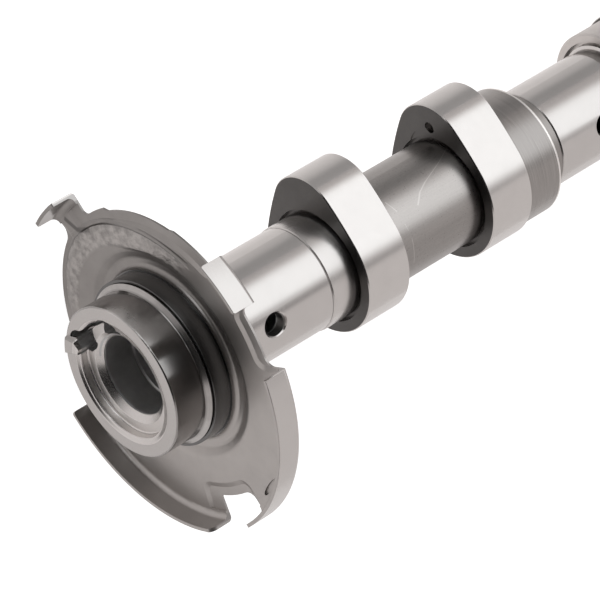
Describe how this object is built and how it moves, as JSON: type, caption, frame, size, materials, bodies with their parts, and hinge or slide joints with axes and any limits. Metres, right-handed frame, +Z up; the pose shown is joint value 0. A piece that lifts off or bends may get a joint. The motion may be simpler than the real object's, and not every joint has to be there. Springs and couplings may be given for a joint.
{
  "type": "camshaft",
  "caption": "Hollow assembled camshaft: paired cam lobes and ground journals on a steel tube, with a front drive hub, a driving lug and a pressed trigger wheel.",
  "frame": {"origin": "on the shaft axis in the plane of the hub's front face, which the driving lug stands 0.8 mm proud of", "axes": "+X along the shaft from the hub's front face to the rear; +Z up as the shaft lies at rest on the wheel's segments; clock angles are counted about +X from +Y"},
  "size_m": [0.3668, 0.0771, 0.0782],
  "materials": {
    "ground_steel": "ground",
    "turned_steel": "satin turned",
    "sheet_steel": "satin pressed",
    "lobe_steel": "ground track, satin sides",
    "plug_steel": "satin pressed"
  },
  "bodies": {
    "root": {"shaft_tube": "ground_steel", "front_hub": "turned_steel", "trigger_wheel": "sheet_steel", "cam_lobe_1": "lobe_steel", "cam_lobe_2": "lobe_steel", "cam_lobe_3": "lobe_steel", "cam_lobe_4": "lobe_steel", "cam_lobe_5": "lobe_steel", "cam_lobe_6": "lobe_steel", "end_plug": "plug_steel"}
  },
  "joints": []
}
